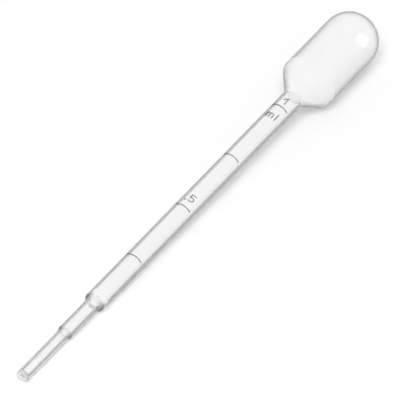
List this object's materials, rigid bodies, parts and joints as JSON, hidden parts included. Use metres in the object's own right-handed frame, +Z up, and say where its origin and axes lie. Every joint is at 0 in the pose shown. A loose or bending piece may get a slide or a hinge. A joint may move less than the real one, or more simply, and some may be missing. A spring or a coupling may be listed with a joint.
{
  "type": "dropper pipette",
  "caption": "Clear moulded plastic dropper pipette: squeeze bulb, conical shoulder, stem with raised volume marks, stepped narrow open tip.",
  "frame": {"origin": "middle of the part's length and width, on the surface that it lies on", "axes": "+X along the pipette from its tip to its bulb, +Z up, scale on top and turned 12 degrees towards -Y"},
  "size_m": [0.1496, 0.0144, 0.0152],
  "materials": {
    "clear_plastic": "clear to faintly milky soft polyethylene, smooth as moulded"
  },
  "bodies": {
    "root": {"pipette": "clear_plastic"}
  },
  "joints": []
}
